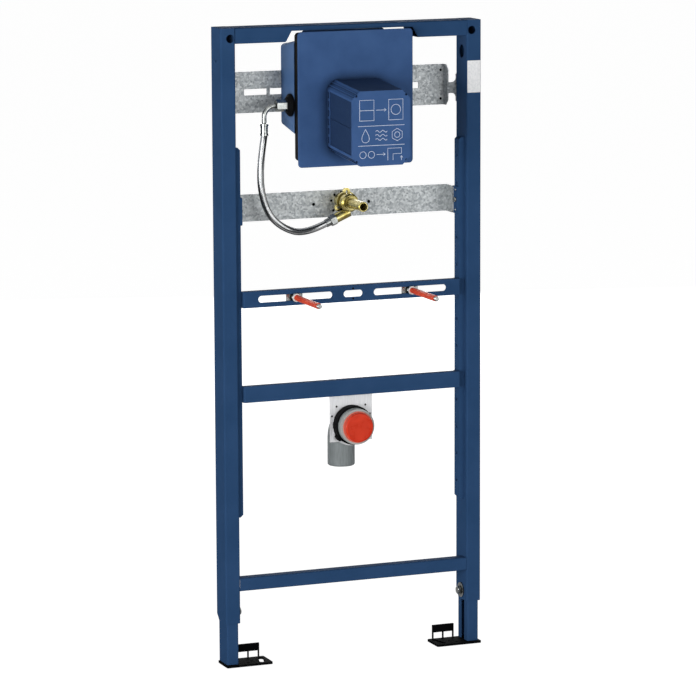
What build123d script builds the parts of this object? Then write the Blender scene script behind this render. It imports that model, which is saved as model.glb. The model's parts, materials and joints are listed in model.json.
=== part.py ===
"""Urinal installation frame: a welded steel frame on two telescopic feet.

The frame carries a flush valve box with its cover, a brass water connection
with a braided hose, two basin studs in a slotted bar and a drain elbow.
One STEP file is written for each piece.
"""

import os
from math import cos, pi, radians, sin, sqrt, tan

from build123d import *

# All sizes are in millimetres. X runs to the right, Y to the wall behind and
# Z up. The posts' front faces lie in Y = 0 and the floor is Z = 0. A name
# that ends in DROP is measured down from the top of the frame.

# Frame of closed profile
FRAME_WIDTH = 500.0
FRAME_HEIGHT = 1152.0
PROFILE_WIDTH = 28.0
PROFILE_DEPTH = 50.0
PROFILE_WALL = 2.0
PROFILE_CORNER = 3.0
POST_BOTTOM = 80.0
POST_HEEL = 14.0
WALL_HOLE_INSET = 18.5
WALL_HOLE_D = 15.0
WALL_BOLT_D = 11.0
SIDE_HOLE_DROP = 58.0
SIDE_HOLE_D = 24.0
SIDE_SCREW_D = 6.0
NOTCH_SIDE_ROOM = 7.0
NOTCH_TOP_ROOM = 3.5
NOTCH_SLANT = 11.0
BOTTOM_BAR_Z = 150.5
BOTTOM_BAR_HEIGHT = 24.0
BOTTOM_BAR_DEPTH = 20.0
SHEET = 2.0

# Adjusting rails inside the posts
RAIL_HEIGHT = 11.0
RAIL_WIDTH = 20.0
RAIL_Y = 21.0
RAIL_BOTTOM = 272.0
RAIL_TOP_DROP = 212.0
RAIL_END_BEVEL = 5.0
RAIL_HOLE_D = 6.0
RAIL_HOLE_PITCH = 50.0
CLIP_HEIGHT = 50.0
CLIP_SHEET = 3.5

# Stud bar and drain bar
BAR_HEIGHT = 29.3
BAR_FRONT = 2.0
BAR_DEPTH = 13.0
BAR_BEND = 4.0
STUD_BAR_Z = 667.5
DRAIN_BAR_Z = 496.5
SLOT_WIDTH = 12.3
LONG_SLOT_LENGTH = 142.0
LONG_SLOT_X = 111.0
MID_SLOT_LENGTH = 37.0
MID_HOLE_D = 4.0
MID_HOLE_RISE = 9.2
STUD_X = 112.0
STUD_D = 8.0
STUD_TIP = -120.0
STUD_BEVEL = 1.0
SLEEVE_D = 11.0
SLEEVE_TIP = -113.0
STUD_PLATE_WIDTH = 30.0
STUD_PLATE_HEIGHT = 22.0
STUD_PLATE_SHEET = 5.0
NUT_ACROSS = 15.0
NUT_HEIGHT = 6.5
NUT_BEVEL = 1.0

# Upper cross plate, galvanised, held behind the posts
UPPER_PLATE_DROP = 121.0
UPPER_PLATE_HEIGHT = 74.0
UPPER_PLATE_ROOM = 14.5
UPPER_PLATE_STEP = 20.0
UPPER_FLANGE_BEVEL = 10.0
UPPER_NECK_HEIGHT = 20.0
UPPER_NECK_SHIFT = -5.0
UPPER_NECK_FILLET = 8.0
UPPER_TAB_HEIGHT = 50.0
UPPER_TAB_LAP = 16.0
UPPER_SLOT_LENGTH = 43.0
UPPER_SLOT_WIDTH = 11.0
UPPER_SLOT_CORNER = 1.0
UPPER_SLOT_PITCH = 49.0
UPPER_SLOT_COUNT = 7
UPPER_SLOT_X = -12.0
UPPER_HOLE_D = 5.0
UPPER_HOLE_INSET = 7.0
UPPER_HOLE_RISE = 26.0

# Water plate, galvanised, clipped to the rails
WATER_PLATE_DROP = 327.0
WATER_PLATE_HEIGHT = 49.0
WATER_PLATE_FRONT = 58.0
WATER_FLANGE_FRONT = 26.0
WATER_FLANGE_BEVEL = 3.0
WATER_HOLE_D = 6.0
WATER_HOLE_X = 53.6
FITTING_HOLE_D = 5.0
FITTING_HOLE_CIRCLE = 40.0
FITTING_HOLE_ANGLES = (15, 50, 90, 130, 165, 220, 320)

# Flush box: body, membrane, cover plate and hood
BOX_HALF = 110.0
BOX_FRONT = 5.0
BOX_TOP_DROP = 26.0
BOX_HEIGHT = 169.0
BOX_TAPER_TOP = 10.0
BOX_TAPER_BOTTOM = 13.0
BOX_WALL = 3.0
MEMBRANE_SHEET = 17.0
MEMBRANE_INSET = 1.0
MEMBRANE_RIM = 14.0
MEMBRANE_APRON = 45.0
COVER_MARGIN_TOP = 2.0
COVER_MARGIN_BOTTOM = 11.0
COVER_PLATE_SHEET = 3.0
COVER_CORNER = 7.0
COVER_EDGE = 1.5
HOOD_WIDTH = 110.5
HOOD_HEIGHT = 132.0
HOOD_DROP = 173.0
HOOD_DEPTH = 118.5
HOOD_FALL = 11.0
HOOD_CHAMFER = 15.0
HOOD_WALL = 3.0
HOOD_RIB_WIDTH = 2.4
HOOD_RIB_HEIGHT = 1.4
HOOD_RIB_PITCH = 7.0
HOOD_RIB_SETBACK = 3.0
HOOD_SCREW_D = 4.5
HOOD_SCREW_INSET = 1.0
PANEL_MARGIN = 4.0
PANEL_SINK = 1.2
PANEL_LINE = 1.2
STRIP_WIDTH = 15.0
STRIP_WINDOW_WIDTH = 7.0
STRIP_WINDOW_HEIGHT = 11.0
STRIP_WINDOW_PITCH = 16.0
STRIP_WINDOW_COUNT = 6
SLIT_LENGTH = 20.0
SLIT_WIDTH = 3.0
SLIT_PITCH = 27.0

# Brass water connection on the water plate
OUTLET_RISE = 5.0
OUTLET_TIP = -49.0
OUTLET_D = 18.0
OUTLET_BORE = 14.0
OUTLET_BEVEL = 1.0
NECK_FRONT = 7.0
NECK_D = 23.0
BODY_FRONT = 12.0
BODY_D = 33.0
BODY_BEVEL = 3.0
FLANGE_FRONT = 31.0
FLANGE_SHEET = 6.0
FLANGE_D = 38.0
BASE_D = 28.0
LUG_CIRCLE = 38.0
LUG_D = 13.0
LUG_HOLE_D = 4.5
INLET_DROP = 17.0
INLET_ANGLE = 23.0
INLET_D = 17.5
INLET_LENGTH = 28.0

# Hose from the flush box down and round to the brass fitting
HOSE_D = 12.5
HOSE_Y = 22.0
HOSE_NUT_ACROSS = 18.0
HOSE_NUT_HEIGHT = 11.0
HOSE_CRIMP_D = 15.0
HOSE_CRIMP_LENGTH = 9.0
HOSE_LEAD = 45.0
# X and Z from the end of the ferrule
HOSE_ROUTE = [(-11.5, -64.5), (0.5, -134.0), (31.0, -166.5)]
GROMMET_DROP = 142.0
GROMMET_D = 40.0
GROMMET_NECK_D = 27.0
GROMMET_LENGTH = 9.0
GROMMET_RIM = 3.5
ELBOW_NUT_ACROSS = 19.0
ELBOW_NUT_HEIGHT = 20.0
ELBOW_REACH = 51.0
ELBOW_D = 9.0
ELBOW_RADIUS = 20.0
ELBOW_FALL = 31.0
FERRULE_LENGTH = 21.0
FERRULE_D = 16.0
FERRULE_WAIST_D = 14.0
FERRULE_RING = 4.0

# Drain
DRAIN_Z = 426.5
BRACKET_WIDTH = 82.0
BRACKET_WING_DROP = 31.0
BRACKET_RIM = 3.5
BRACKET_HOLE_D = 4.0
BRACKET_HOLES = ((28.0, 33.7), (37.0, 16.5))
BEAD_X = 33.5
BEAD_WIDTH = 3.0
BEAD_HEIGHT = 1.0
BEAD_TOP = 13.0
BADGE_WIDTH = 9.0
BADGE_HEIGHT = 8.0
BADGE_RISE = 44.0
SEAL_D = 71.0
SEAL_FRONT = -3.0
SEAL_LIP = 1.5
SEAL_TAB_WIDTH = 9.0
SEAL_TAB_REACH = 39.0
SEAL_TAB_ANGLE = 218.0
SOCKET_D = 65.0
SOCKET_FRONT = -17.0
SOCKET_REAR = 24.0
SOCKET_BORE = 55.0
SOCKET_WALL = 5.0
SOCKET_RING = 6.0
SOCKET_STEP = 1.2
PIPE_D = 50.0
PIPE_WALL = 3.0
PIPE_Y = 64.5
PIPE_LOW = 343.0
PIPE_BEND = 36.0
PIPE_BEVEL = 2.0
CAP_RIM_D = 57.5
CAP_RIM = 3.0
CAP_D = 54.0
CAP_HEIGHT = 11.0
CAP_ROUND = 3.5
CAP_DISH_D = 45.0
CAP_DISH = 0.8
CAP_PLUG = 14.0

# Feet
LEG_WIDTH = 22.0
LEG_DEPTH = 44.0
LEG_TOP = 330.0
LEG_SLOT = 15.0
FOOT_SHEET = 4.0
FOOT_LENGTH = 88.0
FOOT_FRONT = -5.0
FOOT_REAR = 45.0
FOOT_CORNER = 3.0
UPSTAND_NEAR = 36.0
UPSTAND_FAR = 78.5
UPSTAND_HEIGHT = 30.0
UPSTAND_BAR = 2.0
WINDOW_HEIGHT = 12.0
FOOT_SLOT_WIDTH = 9.0
FOOT_SLOT_LENGTH = 36.0
FOOT_SLOT_REACH = 74.5
FOOT_SLOT_TILT = 16.0
FOOT_HOLE_D = 6.0
FOOT_HOLES = ((45.5, 10.8), (55.0, 21.3))
CLAMP_Z = 97.0
CLAMP_BOLT_D = 8.0
CLAMP_WASHER_D = 27.5
CLAMP_WASHER_SHEET = 2.0
CLAMP_HEAD_ACROSS = 13.0
CLAMP_HEAD_HEIGHT = 6.5
CLAMP_NUT_WIDTH = 20.0
CLAMP_NUT_HEIGHT = 5.0

# Room between a piece and the hole it passes through
CLEARANCE = 0.5

# Places that follow from the sizes above
POST_X = FRAME_WIDTH / 2 - PROFILE_WIDTH / 2
POST_INNER = FRAME_WIDTH / 2 - PROFILE_WIDTH
POST_MIDDLE = PROFILE_DEPTH / 2
RAIL_FACE = POST_INNER - RAIL_HEIGHT
RAIL_TOP = FRAME_HEIGHT - RAIL_TOP_DROP
BAR_REAR = BAR_FRONT + BAR_DEPTH
BAR_BACK = BAR_FRONT + SHEET
UPPER_PLATE_Z = FRAME_HEIGHT - UPPER_PLATE_DROP
UPPER_PLATE_FRONT = PROFILE_DEPTH + UPPER_PLATE_STEP
UPPER_PLATE_HALF = POST_INNER - UPPER_PLATE_ROOM
UPPER_TAB_REACH = POST_INNER + UPPER_TAB_LAP
WATER_PLATE_Z = FRAME_HEIGHT - WATER_PLATE_DROP
WATER_PLATE_HALF = RAIL_FACE - CLIP_SHEET
BOX_TOP = FRAME_HEIGHT - BOX_TOP_DROP
BOX_BOTTOM = BOX_TOP - BOX_HEIGHT
MEMBRANE_FRONT = BOX_FRONT - MEMBRANE_SHEET
MEMBRANE_HALF = BOX_HALF - MEMBRANE_INSET
MEMBRANE_TOP = BOX_TOP + MEMBRANE_RIM
MEMBRANE_BOTTOM = BOX_BOTTOM - MEMBRANE_APRON
COVER_TOP = MEMBRANE_TOP + COVER_MARGIN_TOP
COVER_BOTTOM = MEMBRANE_BOTTOM - COVER_MARGIN_BOTTOM
COVER_PLATE_FRONT = MEMBRANE_FRONT - COVER_PLATE_SHEET
HOOD_FRONT_Z = FRAME_HEIGHT - HOOD_DROP
HOOD_REAR_Z = HOOD_FRONT_Z + HOOD_FALL
HOOD_FRONT = COVER_PLATE_FRONT - HOOD_DEPTH
OUTLET_Z = WATER_PLATE_Z + OUTLET_RISE
GROMMET_Z = FRAME_HEIGHT - GROMMET_DROP
GROMMET_END = -BOX_HALF - GROMMET_LENGTH
ELBOW_NUT_END = GROMMET_END - ELBOW_NUT_HEIGHT
ELBOW_X = -BOX_HALF - ELBOW_REACH
FERRULE_TOP = GROMMET_Z - ELBOW_FALL
FERRULE_BOTTOM = FERRULE_TOP - FERRULE_LENGTH
OBJECT_REAR = PIPE_Y + PIPE_D / 2
ORIGIN_Y = (HOOD_FRONT + OBJECT_REAR) / 2


def between_x(sketch, x0, x1):
    """Extrude a sketch of (Y, Z) between two places on X."""
    low = min(x0, x1)
    plane = Plane(origin=(low, 0, 0), x_dir=(0, 1, 0), z_dir=(1, 0, 0))
    return extrude(plane * sketch, amount=abs(x1 - x0))


def between_y(sketch, y0, y1):
    """Extrude a sketch of (X, Z) from y0 back to y1."""
    plane = Plane(origin=(0, y1, 0), x_dir=(1, 0, 0), z_dir=(0, -1, 0))
    return extrude(plane * sketch, amount=y1 - y0)


def between_z(sketch, z0, z1):
    """Extrude a sketch of (X, Y) from z0 up to z1."""
    return extrude(Plane.XY.offset(z0) * sketch, amount=z1 - z0)


def block(x0, x1, y0, y1, z0, z1):
    """A box given by its limits on the three axes."""
    middle = Pos((x0 + x1) / 2, (y0 + y1) / 2, (z0 + z1) / 2)
    return middle * Box(abs(x1 - x0), y1 - y0, z1 - z0)


def rod_y(x, z, diameter, y0, y1):
    """A round bar along Y."""
    return between_y(Pos(x, z) * Circle(diameter / 2), y0, y1)


def rod_x(y, z, diameter, x0, x1):
    """A round bar along X."""
    return between_x(Pos(y, z) * Circle(diameter / 2), x0, x1)


def turned_y(z, profile):
    """A turned piece on an axis along Y: profile lists (radius, Y) from end to end."""
    outline = [(0, profile[0][1])] + profile + [(0, profile[-1][1])]
    face = make_face(Polyline(*outline, close=True))
    return Pos(0, 0, z) * revolve(face, Axis.Y)


def polygon(*points):
    """A flat face with straight edges."""
    return make_face(Polyline(*points, close=True))


def hexagon(across):
    """A hexagon given by its width across flats."""
    return RegularPolygon(across / 2, 6, major_radius=False)


def ring(outer, inner):
    """A round ring given by its two diameters."""
    return Circle(outer / 2) - Circle(inner / 2)


def tube_section(width, depth, wall, corner):
    """The section of a rectangular tube with round corners."""
    inside = RectangleRounded(width - 2 * wall, depth - 2 * wall, corner - wall)
    return RectangleRounded(width, depth, corner) - inside


def hex_nut(across, height):
    """A solid hexagon nut standing on Z = 0, with its corners turned off at both ends."""
    corner = across / (2 * cos(radians(30)))
    blank = Pos(0, 0, height / 2) * Cylinder(corner, height)
    blank = chamfer(blank.edges().filter_by(GeomType.CIRCLE), NUT_BEVEL)
    return extrude(hexagon(across), amount=height) & blank


def make_post(side):
    """A post: a closed tube with a lid, a cut heel, wall fixing holes and side holes."""
    place = Pos(side * POST_X, POST_MIDDLE)
    section = place * tube_section(PROFILE_WIDTH, PROFILE_DEPTH, PROFILE_WALL, PROFILE_CORNER)
    lid = place * RectangleRounded(PROFILE_WIDTH, PROFILE_DEPTH, PROFILE_CORNER)
    post = between_z(section, POST_BOTTOM, FRAME_HEIGHT)
    post += between_z(lid, FRAME_HEIGHT - PROFILE_WALL, FRAME_HEIGHT)
    heel = polygon((PROFILE_DEPTH, POST_BOTTOM), (PROFILE_DEPTH - POST_HEEL, POST_BOTTOM),
                   (PROFILE_DEPTH, POST_BOTTOM + POST_HEEL))
    outer = side * FRAME_WIDTH / 2
    inner = side * POST_INNER
    post -= between_x(heel, inner, outer)
    hole_x = side * (FRAME_WIDTH / 2 - WALL_HOLE_INSET)
    hole_z = FRAME_HEIGHT - WALL_HOLE_INSET
    post -= rod_y(hole_x, hole_z, WALL_HOLE_D, 0, PROFILE_WALL)
    post -= rod_y(hole_x, hole_z, WALL_BOLT_D, PROFILE_DEPTH - PROFILE_WALL, PROFILE_DEPTH)
    side_z = FRAME_HEIGHT - SIDE_HOLE_DROP
    inner_wall = side * (POST_INNER + PROFILE_WALL)
    outer_wall = side * (FRAME_WIDTH / 2 - PROFILE_WALL)
    post -= rod_x(POST_MIDDLE, side_z, SIDE_HOLE_D, inner, inner_wall)
    post -= rod_x(POST_MIDDLE, side_z, SIDE_SCREW_D, outer_wall, outer)
    post -= rod_x(POST_MIDDLE, CLAMP_Z, CLAMP_BOLT_D + 2 * CLEARANCE, inner, inner_wall)
    return post


def make_top_bar():
    """The top bar between the posts, notched right through for the flush box."""
    low = FRAME_HEIGHT - PROFILE_WIDTH
    section = Pos(POST_MIDDLE, FRAME_HEIGHT - PROFILE_WIDTH / 2) * tube_section(
        PROFILE_DEPTH, PROFILE_WIDTH, PROFILE_WALL, PROFILE_CORNER)
    bar = between_x(section, -POST_INNER, POST_INNER)
    top = MEMBRANE_TOP + NOTCH_TOP_ROOM
    top_half = MEMBRANE_HALF + NOTCH_SIDE_ROOM
    low_half = top_half + NOTCH_SLANT
    notch = polygon((-low_half, low), (low_half, low), (top_half, top), (-top_half, top))
    return bar - between_y(notch, 0, PROFILE_DEPTH)


def make_bottom_bar():
    """The bottom bar: a folded channel, open at the back."""
    low = BOTTOM_BAR_Z - BOTTOM_BAR_HEIGHT / 2
    high = BOTTOM_BAR_Z + BOTTOM_BAR_HEIGHT / 2
    bar = block(-POST_INNER, POST_INNER, 0, BOTTOM_BAR_DEPTH, low, high)
    bar = fillet(bar.edges().filter_by(Axis.X).group_by(Axis.Y)[0], PROFILE_CORNER)
    return bar - block(-POST_INNER, POST_INNER, SHEET, BOTTOM_BAR_DEPTH, low + SHEET, high - SHEET)


def make_rail(side):
    """An adjusting rail: a channel against the post with a row of holes and cut ends."""
    front = RAIL_Y - RAIL_WIDTH / 2
    rear = RAIL_Y + RAIL_WIDTH / 2
    face = side * RAIL_FACE
    back = side * POST_INNER
    rail = block(face, back, front, rear, RAIL_BOTTOM, RAIL_TOP)
    rail -= block(side * (RAIL_FACE + SHEET), back, front + SHEET, rear - SHEET, RAIL_BOTTOM, RAIL_TOP)
    cut = side * (RAIL_FACE + RAIL_END_BEVEL)
    for end, into in ((RAIL_BOTTOM, 1), (RAIL_TOP, -1)):
        bevel = polygon((face, end), (cut, end), (face, end + into * RAIL_END_BEVEL))
        rail -= between_y(bevel, front, rear)
    count = int((RAIL_TOP - RAIL_BOTTOM) / RAIL_HOLE_PITCH)
    first = (RAIL_TOP + RAIL_BOTTOM) / 2 - (count - 1) * RAIL_HOLE_PITCH / 2
    for i in range(count):
        height = first + i * RAIL_HOLE_PITCH
        rail -= rod_x(RAIL_Y, height, RAIL_HOLE_D, face, side * (RAIL_FACE + SHEET))
    return rail


def make_rail_clip(side):
    """The clip that carries one end of the water plate on its rail."""
    clip = block(side * WATER_PLATE_HALF, side * RAIL_FACE, RAIL_Y - RAIL_WIDTH / 2,
                 RAIL_Y + RAIL_WIDTH / 2, WATER_PLATE_Z - CLIP_HEIGHT / 2, WATER_PLATE_Z + CLIP_HEIGHT / 2)
    return fillet(clip.edges().filter_by(Axis.X), PROFILE_CORNER)


def make_cross_bar(middle_z):
    """A shallow channel, open at the back, with end tabs against the rails."""
    low = middle_z - BAR_HEIGHT / 2
    high = middle_z + BAR_HEIGHT / 2
    rear = RAIL_Y + RAIL_WIDTH / 2
    inside = RAIL_FACE - SHEET
    bar = block(-RAIL_FACE, RAIL_FACE, BAR_FRONT, BAR_REAR, low, high)
    bar += block(-RAIL_FACE, RAIL_FACE, BAR_REAR, rear, low + SHEET, high - SHEET)
    bar = fillet(bar.edges().filter_by(Axis.Z).group_by(Axis.Y)[0], BAR_BEND)
    return bar - block(-inside, inside, BAR_BACK, rear, low + SHEET, high - SHEET)


def make_stud_bar():
    """The bar with two long slots for the basin studs and a short one between."""
    cuts = Pos(0, STUD_BAR_Z) * SlotOverall(MID_SLOT_LENGTH, SLOT_WIDTH)
    for side in (-1, 1):
        cuts += Pos(side * LONG_SLOT_X, STUD_BAR_Z) * SlotOverall(LONG_SLOT_LENGTH, SLOT_WIDTH)
        cuts += Pos(0, STUD_BAR_Z + side * MID_HOLE_RISE) * Circle(MID_HOLE_D / 2)
    return make_cross_bar(STUD_BAR_Z) - between_y(cuts, BAR_FRONT, BAR_BACK)


def make_stud(side):
    """A threaded stud through the sleeve, the nut and the clamp plate."""
    stud = rod_y(side * STUD_X, STUD_BAR_Z, STUD_D, STUD_TIP, BAR_BACK + STUD_PLATE_SHEET)
    return chamfer(stud.edges().group_by(Axis.Y)[0], STUD_BEVEL)


def make_stud_plate(side):
    """The clamp plate behind a slot."""
    outline = RectangleRounded(STUD_PLATE_WIDTH, STUD_PLATE_HEIGHT, SHEET) - Circle(STUD_D / 2)
    return between_y(Pos(side * STUD_X, STUD_BAR_Z) * outline, BAR_BACK, BAR_BACK + STUD_PLATE_SHEET)


def make_stud_nut(side):
    """The nut that clamps a stud from the front."""
    nut = Rot(90, 0, 0) * (hex_nut(NUT_ACROSS, NUT_HEIGHT) - Cylinder(STUD_D / 2, 2 * NUT_HEIGHT))
    return Pos(side * STUD_X, BAR_FRONT, STUD_BAR_Z) * nut


def make_stud_sleeve(side):
    """The plastic sleeve over a stud."""
    outline = Pos(side * STUD_X, STUD_BAR_Z) * ring(SLEEVE_D, STUD_D)
    return between_y(outline, SLEEVE_TIP, BAR_FRONT - NUT_HEIGHT)


def upper_plate_end(side):
    """One end of the upper plate: a flange forward and a necked tab behind the post."""
    half = UPPER_PLATE_HEIGHT / 2
    face = side * (UPPER_PLATE_HALF - SHEET)
    flange = polygon((PROFILE_DEPTH, half - UPPER_FLANGE_BEVEL), (PROFILE_DEPTH + UPPER_FLANGE_BEVEL, half),
                     (UPPER_PLATE_FRONT + SHEET, half), (UPPER_PLATE_FRONT + SHEET, -half),
                     (PROFILE_DEPTH + UPPER_FLANGE_BEVEL, -half), (PROFILE_DEPTH, UPPER_FLANGE_BEVEL - half))
    end = between_x(flange, face, side * UPPER_PLATE_HALF)
    neck_length = UPPER_TAB_REACH - UPPER_PLATE_HALF + SHEET
    neck = Pos(side * (UPPER_TAB_REACH - neck_length / 2), 0) * Rectangle(neck_length, UPPER_NECK_HEIGHT)
    tab_length = UPPER_TAB_REACH - POST_INNER
    tab = Pos(side * (UPPER_TAB_REACH - tab_length / 2), 0) * Rectangle(tab_length, UPPER_TAB_HEIGHT)
    strap = neck + tab
    inner_corners = [v for v in strap.vertices()
                     if abs(abs(v.X) - POST_INNER) < SHEET / 2 and abs(v.Y) < UPPER_TAB_HEIGHT / 2 - SHEET]
    strap = fillet(inner_corners, UPPER_NECK_FILLET)
    return end + between_y(Pos(0, UPPER_NECK_SHIFT) * strap, PROFILE_DEPTH, PROFILE_DEPTH + SHEET)


def make_upper_plate():
    """The upper cross plate with its row of slots and its end holes."""
    cuts = Sketch()
    first = UPPER_SLOT_X - (UPPER_SLOT_COUNT - 1) * UPPER_SLOT_PITCH / 2
    for i in range(UPPER_SLOT_COUNT):
        cuts += Pos(first + i * UPPER_SLOT_PITCH, 0) * RectangleRounded(
            UPPER_SLOT_LENGTH, UPPER_SLOT_WIDTH, UPPER_SLOT_CORNER)
    for x in (UPPER_HOLE_INSET - UPPER_PLATE_HALF, UPPER_PLATE_HALF - UPPER_HOLE_INSET):
        for z in (-UPPER_HOLE_RISE, UPPER_HOLE_RISE):
            cuts += Pos(x, z) * Circle(UPPER_HOLE_D / 2)
    sheet = Rectangle(2 * UPPER_PLATE_HALF, UPPER_PLATE_HEIGHT) - cuts
    plate = between_y(sheet, UPPER_PLATE_FRONT, UPPER_PLATE_FRONT + SHEET)
    for side in (-1, 1):
        plate += upper_plate_end(side)
    return Pos(0, 0, UPPER_PLATE_Z) * plate


def make_water_plate():
    """The water plate: flanges bent forward to the rail clips, and holes for the fitting."""
    cuts = Sketch()
    for x in (-WATER_HOLE_X, WATER_HOLE_X):
        cuts += Pos(x, 0) * Circle(WATER_HOLE_D / 2)
    for angle in FITTING_HOLE_ANGLES:
        cuts += Rot(0, 0, angle) * Pos(FITTING_HOLE_CIRCLE / 2, 0) * Circle(FITTING_HOLE_D / 2)
    sheet = Rectangle(2 * WATER_PLATE_HALF, WATER_PLATE_HEIGHT) - cuts
    rear = WATER_PLATE_FRONT + SHEET
    plate = between_y(sheet, WATER_PLATE_FRONT, rear)
    half = WATER_PLATE_HEIGHT / 2
    bevel = WATER_FLANGE_FRONT + WATER_FLANGE_BEVEL
    low = half - WATER_FLANGE_BEVEL
    flange = polygon((WATER_FLANGE_FRONT, low), (bevel, half), (rear, half),
                     (rear, -half), (bevel, -half), (WATER_FLANGE_FRONT, -low))
    for side in (-1, 1):
        plate += between_x(flange, side * (WATER_PLATE_HALF - SHEET), side * WATER_PLATE_HALF)
    return Pos(0, 0, WATER_PLATE_Z) * plate


def box_shape(inset):
    """The flush box as a taper from its front to its rear, drawn in by inset."""
    width = 2 * (BOX_HALF - inset)
    front_plane = Plane(origin=(0, BOX_FRONT, (BOX_TOP + BOX_BOTTOM) / 2),
                        x_dir=(1, 0, 0), z_dir=(0, -1, 0))
    rear_top = BOX_TOP - BOX_TAPER_TOP
    rear_bottom = BOX_BOTTOM + BOX_TAPER_BOTTOM
    rear_plane = Plane(origin=(0, UPPER_PLATE_FRONT - inset, (rear_top + rear_bottom) / 2),
                       x_dir=(1, 0, 0), z_dir=(0, -1, 0))
    front = front_plane * RectangleRounded(width, BOX_HEIGHT - 2 * inset, COVER_CORNER)
    rear = rear_plane * RectangleRounded(width, rear_top - rear_bottom - 2 * inset, COVER_CORNER)
    return loft([front, rear])


def make_box_body():
    """The flush box: a tapered shell, open at the front."""
    return box_shape(0) - box_shape(BOX_WALL)


def make_box_membrane():
    """The black membrane between the box and its cover plate."""
    outline = Pos(0, (MEMBRANE_TOP + MEMBRANE_BOTTOM) / 2) * RectangleRounded(
        2 * MEMBRANE_HALF, MEMBRANE_TOP - MEMBRANE_BOTTOM, COVER_CORNER)
    hole = Pos(0, (BOX_TOP + BOX_BOTTOM) / 2) * RectangleRounded(
        2 * (BOX_HALF - MEMBRANE_RIM), BOX_HEIGHT - 2 * MEMBRANE_RIM, COVER_CORNER)
    return between_y(outline - hole, MEMBRANE_FRONT, BOX_FRONT)


def hood_section(inset):
    """The hood's outline with chamfered corners, drawn in by inset."""
    outline = Rectangle(HOOD_WIDTH - 2 * inset, HOOD_HEIGHT - 2 * inset)
    return chamfer(outline.vertices(), HOOD_CHAMFER - inset * (2 - sqrt(2)))


def make_cover_plate():
    """The cover plate, with rounded edges and an opening into the hood."""
    outline = Pos(0, (COVER_TOP + COVER_BOTTOM) / 2) * RectangleRounded(
        2 * BOX_HALF, COVER_TOP - COVER_BOTTOM, COVER_CORNER)
    plate = between_y(outline, COVER_PLATE_FRONT, MEMBRANE_FRONT)
    plate = fillet(plate.faces().sort_by(Axis.Y)[0].edges(), COVER_EDGE)
    return plate - between_y(Pos(0, HOOD_REAR_Z) * hood_section(HOOD_WALL), COVER_PLATE_FRONT, MEMBRANE_FRONT)


def along_hood(sketch, y0, y1):
    """Extrude a sketch about the hood's middle line, which falls to the front, from y0 back to y1."""
    slope = HOOD_FALL / HOOD_DEPTH
    start = Plane(origin=(0, y0, HOOD_FRONT_Z + slope * (y0 - HOOD_FRONT)), x_dir=(1, 0, 0), z_dir=(0, -1, 0))
    way = Vector(0, 1, slope)
    return extrude(start * sketch, amount=(y1 - y0) * way.length, dir=way.normalized())


def hood_corners():
    """The middle of each chamfer of the hood's outline, with the angle it faces."""
    across = HOOD_WIDTH / 2 - HOOD_CHAMFER / 2
    up = HOOD_HEIGHT / 2 - HOOD_CHAMFER / 2
    return [(across, up, 45), (-across, up, 135), (-across, -up, 225), (across, -up, 315)]


def hood_ribs():
    """Two ribs from front to back on each chamfer of the hood."""
    ribs = Sketch()
    for x, z, angle in hood_corners():
        for shift in (-HOOD_RIB_PITCH / 2, HOOD_RIB_PITCH / 2):
            ribs += Pos(x, z) * Rot(0, 0, angle) * Pos(0, shift) * Rectangle(
                2 * HOOD_RIB_HEIGHT, HOOD_RIB_WIDTH)
    return along_hood(ribs, HOOD_FRONT + HOOD_RIB_SETBACK, COVER_PLATE_FRONT)


def hood_side_sinks():
    """What is sunk into both sides of the hood: a panel, its middle line and a strip of windows."""
    outer = HOOD_WIDTH / 2
    panel_height = HOOD_HEIGHT - 2 * (HOOD_CHAMFER + PANEL_MARGIN)
    first = -(STRIP_WINDOW_COUNT - 1) * STRIP_WINDOW_PITCH / 2
    panels = Sketch()
    windows = Sketch()
    for side in (-1, 1):
        middle = side * (outer - PANEL_SINK / 2)
        panels += Pos(middle, 0) * Rectangle(PANEL_SINK, panel_height)
        panels += Pos(side * (outer - PANEL_SINK), 0) * Rectangle(2 * PANEL_SINK, PANEL_LINE)
        for i in range(STRIP_WINDOW_COUNT):
            windows += Pos(middle, first + i * STRIP_WINDOW_PITCH) * Rectangle(
                PANEL_SINK, STRIP_WINDOW_HEIGHT)
    strip = COVER_PLATE_FRONT - (STRIP_WIDTH + STRIP_WINDOW_WIDTH) / 2
    sinks = along_hood(panels, HOOD_FRONT + PANEL_MARGIN, COVER_PLATE_FRONT - STRIP_WIDTH)
    return sinks + along_hood(windows, strip, strip + STRIP_WINDOW_WIDTH)


def hood_holes():
    """Screw holes in the hood's front corners and slits in its roof beside the cover plate."""
    holes = Sketch()
    for x, z, angle in hood_corners():
        holes += Pos(x, z) * Rot(0, 0, angle) * Pos(-HOOD_SCREW_INSET, 0) * Circle(HOOD_SCREW_D / 2)
    slits = Sketch()
    for x in (-SLIT_PITCH, 0, SLIT_PITCH):
        slits += Pos(x, (HOOD_HEIGHT - HOOD_WALL) / 2) * Rectangle(SLIT_LENGTH, HOOD_WALL)
    slit_rear = COVER_PLATE_FRONT - SLIT_WIDTH
    cuts = along_hood(holes, HOOD_FRONT, HOOD_FRONT + HOOD_WALL)
    return cuts + along_hood(slits, slit_rear - SLIT_WIDTH, slit_rear)


def make_hood():
    """The moulded hood: a shell that falls to its front, with ribbed chamfers and panelled sides."""
    hood = along_hood(hood_section(0), HOOD_FRONT, COVER_PLATE_FRONT)
    hood += hood_ribs()
    hood -= along_hood(hood_section(HOOD_WALL), HOOD_FRONT + HOOD_WALL, COVER_PLATE_FRONT)
    hood -= hood_side_sinks()
    return hood - hood_holes()


def inlet_direction():
    """The way the water inlet points: left and down."""
    return Vector(-cos(radians(INLET_ANGLE)), 0, -sin(radians(INLET_ANGLE)))


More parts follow.
